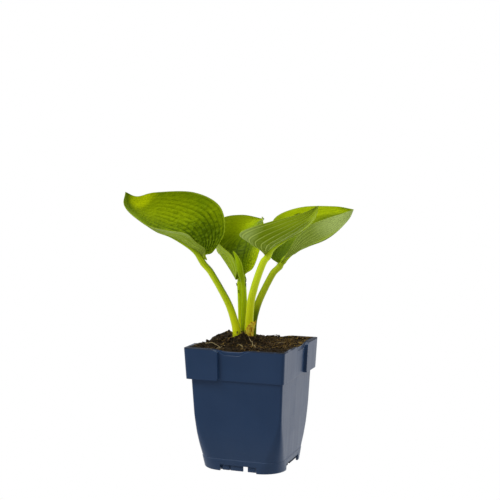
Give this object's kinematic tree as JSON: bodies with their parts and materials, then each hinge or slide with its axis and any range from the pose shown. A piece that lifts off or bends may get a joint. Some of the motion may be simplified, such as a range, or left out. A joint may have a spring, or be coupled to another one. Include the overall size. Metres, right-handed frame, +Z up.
{
  "type": "potted hosta plant",
  "caption": "Young hosta with broad ribbed heart-shaped leaves on arching stems, growing in soil in a dark blue square plastic nursery pot.",
  "frame": {"origin": "bottom centre of the whole object's bounding box, on the surface that the pot stands on", "axes": "+Z up; -Y towards the front of the pot; +X to the pot's right"},
  "size_m": [0.2184, 0.143, 0.279],
  "materials": {
    "pot_plastic": "satin moulded polypropylene, dark navy blue",
    "peat": "rough dark peat compost with fibres",
    "leaf_green": "satin fresh green, paler underneath",
    "dry_scale": "dry papery bud scale, ochre"
  },
  "bodies": {
    "root": {"pot": "pot_plastic", "soil": "peat", "leaf_left": "leaf_green", "leaf_back": "leaf_green", "leaf_front": "leaf_green", "leaf_right": "leaf_green", "leaf_young": "leaf_green", "bud_scale": "dry_scale"}
  },
  "joints": []
}
